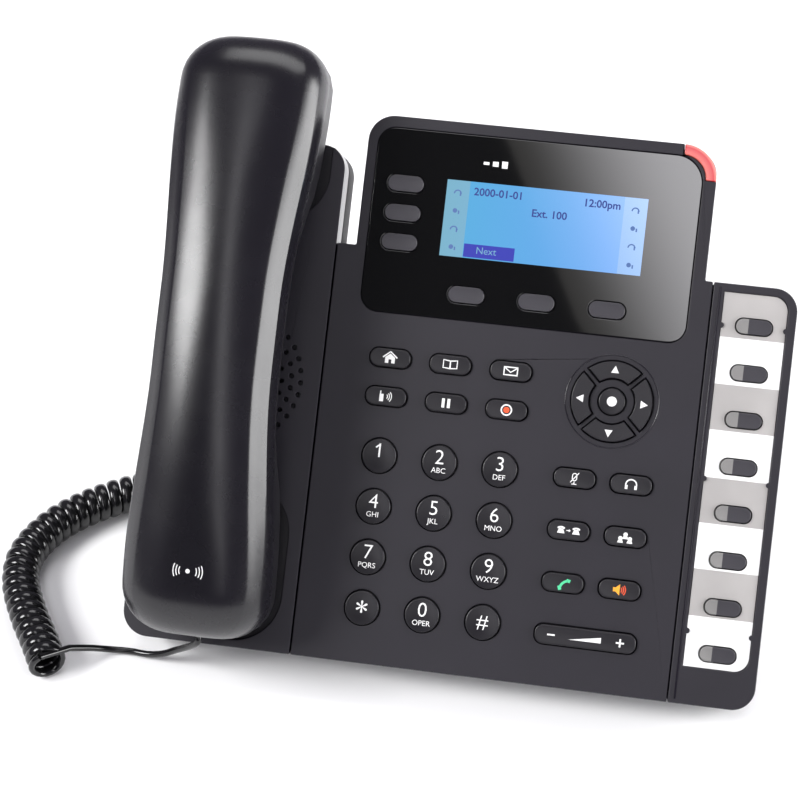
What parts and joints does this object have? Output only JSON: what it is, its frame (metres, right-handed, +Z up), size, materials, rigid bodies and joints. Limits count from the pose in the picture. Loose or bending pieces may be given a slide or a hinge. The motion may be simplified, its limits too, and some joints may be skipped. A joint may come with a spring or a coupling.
{
  "type": "desk ip phone",
  "caption": "Corded desk telephone with a sloping face, backlit display, keypad, navigation cluster, speed-dial panel, curly cord and lift-off handset on a rear stand.",
  "frame": {"origin": "centre of the footprint of the phone without its cord, on the desk", "axes": "+X to the phone's right as its user sees it, -Y towards the user, +Z up"},
  "size_m": [0.2729, 0.1677, 0.182],
  "materials": {
    "shell_black": "fine satin grain",
    "rear_black": "fine matte grain",
    "handset_black": "satin, smooth",
    "key_black": "satin with printed white legends",
    "lens_black": "polished",
    "display_blue": "backlit blue display",
    "lamp_red": "translucent, polished",
    "label_paper": "grey and white bands",
    "board_green": "solder mask",
    "silicone": "soft silicone",
    "speaker_grey": "moulded basket and paper cone",
    "foot_rubber": "matte",
    "screw_steel": "zinc plated",
    "jack_black": "moulded",
    "plug_clear": "clear polycarbonate",
    "capsule_grey": "pressed can",
    "cord_black": "smooth and glossy"
  },
  "bodies": {
    "body": {"rear_shell": "rear_black", "cradle_cover": "shell_black", "main_cover": "shell_black", "side_cover": "shell_black", "display_lens": "lens_black", "display_module": "display_blue", "message_lamp": "lamp_red", "label_strip": "label_paper", "main_board": "board_green", "keypad_mat": "silicone", "loudspeaker": "speaker_grey", "desk_stand": "rear_black", "rubber_feet": "foot_rubber", "case_screws": "screw_steel", "jack_sockets": "jack_black", "base_plug": "plug_clear", "cord_coil": "cord_black", "cord_tails": "cord_black"},
    "handset": {"handset_back": "handset_black", "handset_front": "handset_black", "earpiece": "capsule_grey", "microphone": "capsule_grey", "handset_plug": "plug_clear"},
    "hook": {"hook_switch": "jack_black"},
    "volume": {"volume_rocker": "key_black"},
    "key_1_body": {"key_1": "key_black"},
    "key_2_body": {"key_2": "key_black"},
    "key_3_body": {"key_3": "key_black"},
    "key_4_body": {"key_4": "key_black"},
    "key_5_body": {"key_5": "key_black"},
    "key_6_body": {"key_6": "key_black"},
    "key_7_body": {"key_7": "key_black"},
    "key_8_body": {"key_8": "key_black"},
    "key_9_body": {"key_9": "key_black"},
    "key_star_body": {"key_star": "key_black"},
    "key_0_body": {"key_0": "key_black"},
    "key_hash_body": {"key_hash": "key_black"},
    "home_key_body": {"home_key": "key_black"},
    "phonebook_key_body": {"phonebook_key": "key_black"},
    "message_key_body": {"message_key": "key_black"},
    "intercom_key_body": {"intercom_key": "key_black"},
    "hold_key_body": {"hold_key": "key_black"},
    "record_key_body": {"record_key": "key_black"},
    "mute_key_body": {"mute_key": "key_black"},
    "headset_key_body": {"headset_key": "key_black"},
    "transfer_key_body": {"transfer_key": "key_black"},
    "conference_key_body": {"conference_key": "key_black"},
    "send_key_body": {"send_key": "key_black"},
    "speaker_key_body": {"speaker_key": "key_black"},
    "up_key_body": {"up_key": "key_black"},
    "left_key_body": {"left_key": "key_black"},
    "down_key_body": {"down_key": "key_black"},
    "right_key_body": {"right_key": "key_black"},
    "select_key_body": {"select_key": "key_black"},
    "soft_key_left_body": {"soft_key_left": "key_black"},
    "soft_key_middle_body": {"soft_key_middle": "key_black"},
    "soft_key_right_body": {"soft_key_right": "key_black"},
    "line_keys_body": {"line_keys": "key_black"},
    "speed_dial_keys_upper_body": {"speed_dial_keys_upper": "key_black"},
    "speed_dial_keys_lower_body": {"speed_dial_keys_lower": "key_black"}
  },
  "joints": [
    {"name": "handset_lift", "type": "slide", "parent": "body", "child": "handset", "axis": [0, -0.7071, 0.7071], "range_m": [0, 0.06]},
    {"name": "hook_press", "type": "slide", "parent": "body", "child": "hook", "axis": [0, -0.7071, 0.7071], "range_m": [0, 0.003]},
    {"name": "volume_tip", "type": "hinge", "parent": "body", "child": "volume", "pos_m": [0.051, -0.05273, 0.02586], "axis": [0, 0.7071, 0.7071], "range_deg": [-2, 2], "stiffness_Nm_per_rad": 0.4},
    {"name": "key_1_press", "type": "slide", "parent": "body", "child": "key_1_body", "axis": [0, -0.7071, 0.7071], "range_m": [-0.0012, 0], "stiffness_N_per_m": 1200},
    {"name": "key_2_press", "type": "slide", "parent": "body", "child": "key_2_body", "axis": [0, -0.7071, 0.7071], "range_m": [-0.0012, 0], "stiffness_N_per_m": 1200},
    {"name": "key_3_press", "type": "slide", "parent": "body", "child": "key_3_body", "axis": [0, -0.7071, 0.7071], "range_m": [-0.0012, 0], "stiffness_N_per_m": 1200},
    {"name": "key_4_press", "type": "slide", "parent": "body", "child": "key_4_body", "axis": [0, -0.7071, 0.7071], "range_m": [-0.0012, 0], "stiffness_N_per_m": 1200},
    {"name": "key_5_press", "type": "slide", "parent": "body", "child": "key_5_body", "axis": [0, -0.7071, 0.7071], "range_m": [-0.0012, 0], "stiffness_N_per_m": 1200},
    {"name": "key_6_press", "type": "slide", "parent": "body", "child": "key_6_body", "axis": [0, -0.7071, 0.7071], "range_m": [-0.0012, 0], "stiffness_N_per_m": 1200},
    {"name": "key_7_press", "type": "slide", "parent": "body", "child": "key_7_body", "axis": [0, -0.7071, 0.7071], "range_m": [-0.0012, 0], "stiffness_N_per_m": 1200},
    {"name": "key_8_press", "type": "slide", "parent": "body", "child": "key_8_body", "axis": [0, -0.7071, 0.7071], "range_m": [-0.0012, 0], "stiffness_N_per_m": 1200},
    {"name": "key_9_press", "type": "slide", "parent": "body", "child": "key_9_body", "axis": [0, -0.7071, 0.7071], "range_m": [-0.0012, 0], "stiffness_N_per_m": 1200},
    {"name": "key_star_press", "type": "slide", "parent": "body", "child": "key_star_body", "axis": [0, -0.7071, 0.7071], "range_m": [-0.0012, 0], "stiffness_N_per_m": 1200},
    {"name": "key_0_press", "type": "slide", "parent": "body", "child": "key_0_body", "axis": [0, -0.7071, 0.7071], "range_m": [-0.0012, 0], "stiffness_N_per_m": 1200},
    {"name": "key_hash_press", "type": "slide", "parent": "body", "child": "key_hash_body", "axis": [0, -0.7071, 0.7071], "range_m": [-0.0012, 0], "stiffness_N_per_m": 1200},
    {"name": "home_key_press", "type": "slide", "parent": "body", "child": "home_key_body", "axis": [0, -0.7071, 0.7071], "range_m": [-0.0012, 0], "stiffness_N_per_m": 1200},
    {"name": "phonebook_key_press", "type": "slide", "parent": "body", "child": "phonebook_key_body", "axis": [0, -0.7071, 0.7071], "range_m": [-0.0012, 0], "stiffness_N_per_m": 1200},
    {"name": "message_key_press", "type": "slide", "parent": "body", "child": "message_key_body", "axis": [0, -0.7071, 0.7071], "range_m": [-0.0012, 0], "stiffness_N_per_m": 1200},
    {"name": "intercom_key_press", "type": "slide", "parent": "body", "child": "intercom_key_body", "axis": [0, -0.7071, 0.7071], "range_m": [-0.0012, 0], "stiffness_N_per_m": 1200},
    {"name": "hold_key_press", "type": "slide", "parent": "body", "child": "hold_key_body", "axis": [0, -0.7071, 0.7071], "range_m": [-0.0012, 0], "stiffness_N_per_m": 1200},
    {"name": "record_key_press", "type": "slide", "parent": "body", "child": "record_key_body", "axis": [0, -0.7071, 0.7071], "range_m": [-0.0012, 0], "stiffness_N_per_m": 1200},
    {"name": "mute_key_press", "type": "slide", "parent": "body", "child": "mute_key_body", "axis": [0, -0.7071, 0.7071], "range_m": [-0.0012, 0], "stiffness_N_per_m": 1200},
    {"name": "headset_key_press", "type": "slide", "parent": "body", "child": "headset_key_body", "axis": [0, -0.7071, 0.7071], "range_m": [-0.0012, 0], "stiffness_N_per_m": 1200},
    {"name": "transfer_key_press", "type": "slide", "parent": "body", "child": "transfer_key_body", "axis": [0, -0.7071, 0.7071], "range_m": [-0.0012, 0], "stiffness_N_per_m": 1200},
    {"name": "conference_key_press", "type": "slide", "parent": "body", "child": "conference_key_body", "axis": [0, -0.7071, 0.7071], "range_m": [-0.0012, 0], "stiffness_N_per_m": 1200},
    {"name": "send_key_press", "type": "slide", "parent": "body", "child": "send_key_body", "axis": [0, -0.7071, 0.7071], "range_m": [-0.0012, 0], "stiffness_N_per_m": 1200},
    {"name": "speaker_key_press", "type": "slide", "parent": "body", "child": "speaker_key_body", "axis": [0, -0.7071, 0.7071], "range_m": [-0.0012, 0], "stiffness_N_per_m": 1200},
    {"name": "up_key_press", "type": "slide", "parent": "body", "child": "up_key_body", "axis": [0, -0.7071, 0.7071], "range_m": [-0.0012, 0], "stiffness_N_per_m": 1200},
    {"name": "left_key_press", "type": "slide", "parent": "body", "child": "left_key_body", "axis": [0, -0.7071, 0.7071], "range_m": [-0.0012, 0], "stiffness_N_per_m": 1200},
    {"name": "down_key_press", "type": "slide", "parent": "body", "child": "down_key_body", "axis": [0, -0.7071, 0.7071], "range_m": [-0.0012, 0], "stiffness_N_per_m": 1200},
    {"name": "right_key_press", "type": "slide", "parent": "body", "child": "right_key_body", "axis": [0, -0.7071, 0.7071], "range_m": [-0.0012, 0], "stiffness_N_per_m": 1200},
    {"name": "select_key_press", "type": "slide", "parent": "body", "child": "select_key_body", "axis": [0, -0.7071, 0.7071], "range_m": [-0.0012, 0], "stiffness_N_per_m": 1200},
    {"name": "soft_key_left_press", "type": "slide", "parent": "body", "child": "soft_key_left_body", "axis": [0, -0.7071, 0.7071], "range_m": [-0.0012, 0], "stiffness_N_per_m": 1200},
    {"name": "soft_key_middle_press", "type": "slide", "parent": "body", "child": "soft_key_middle_body", "axis": [0, -0.7071, 0.7071], "range_m": [-0.0012, 0], "stiffness_N_per_m": 1200},
    {"name": "soft_key_right_press", "type": "slide", "parent": "body", "child": "soft_key_right_body", "axis": [0, -0.7071, 0.7071], "range_m": [-0.0012, 0], "stiffness_N_per_m": 1200},
    {"name": "line_keys_press", "type": "slide", "parent": "body", "child": "line_keys_body", "axis": [0, -0.7071, 0.7071], "range_m": [-0.0012, 0], "stiffness_N_per_m": 1200},
    {"name": "speed_dial_keys_upper_press", "type": "slide", "parent": "body", "child": "speed_dial_keys_upper_body", "axis": [0, -0.7071, 0.7071], "range_m": [-0.0012, 0], "stiffness_N_per_m": 1200},
    {"name": "speed_dial_keys_lower_press", "type": "slide", "parent": "body", "child": "speed_dial_keys_lower_body", "axis": [0, -0.7071, 0.7071], "range_m": [-0.0012, 0], "stiffness_N_per_m": 1200}
  ],
  "couplings": [
    {"joint": "hook_press", "follows": "handset_lift", "ratio": 0.05}
  ]
}
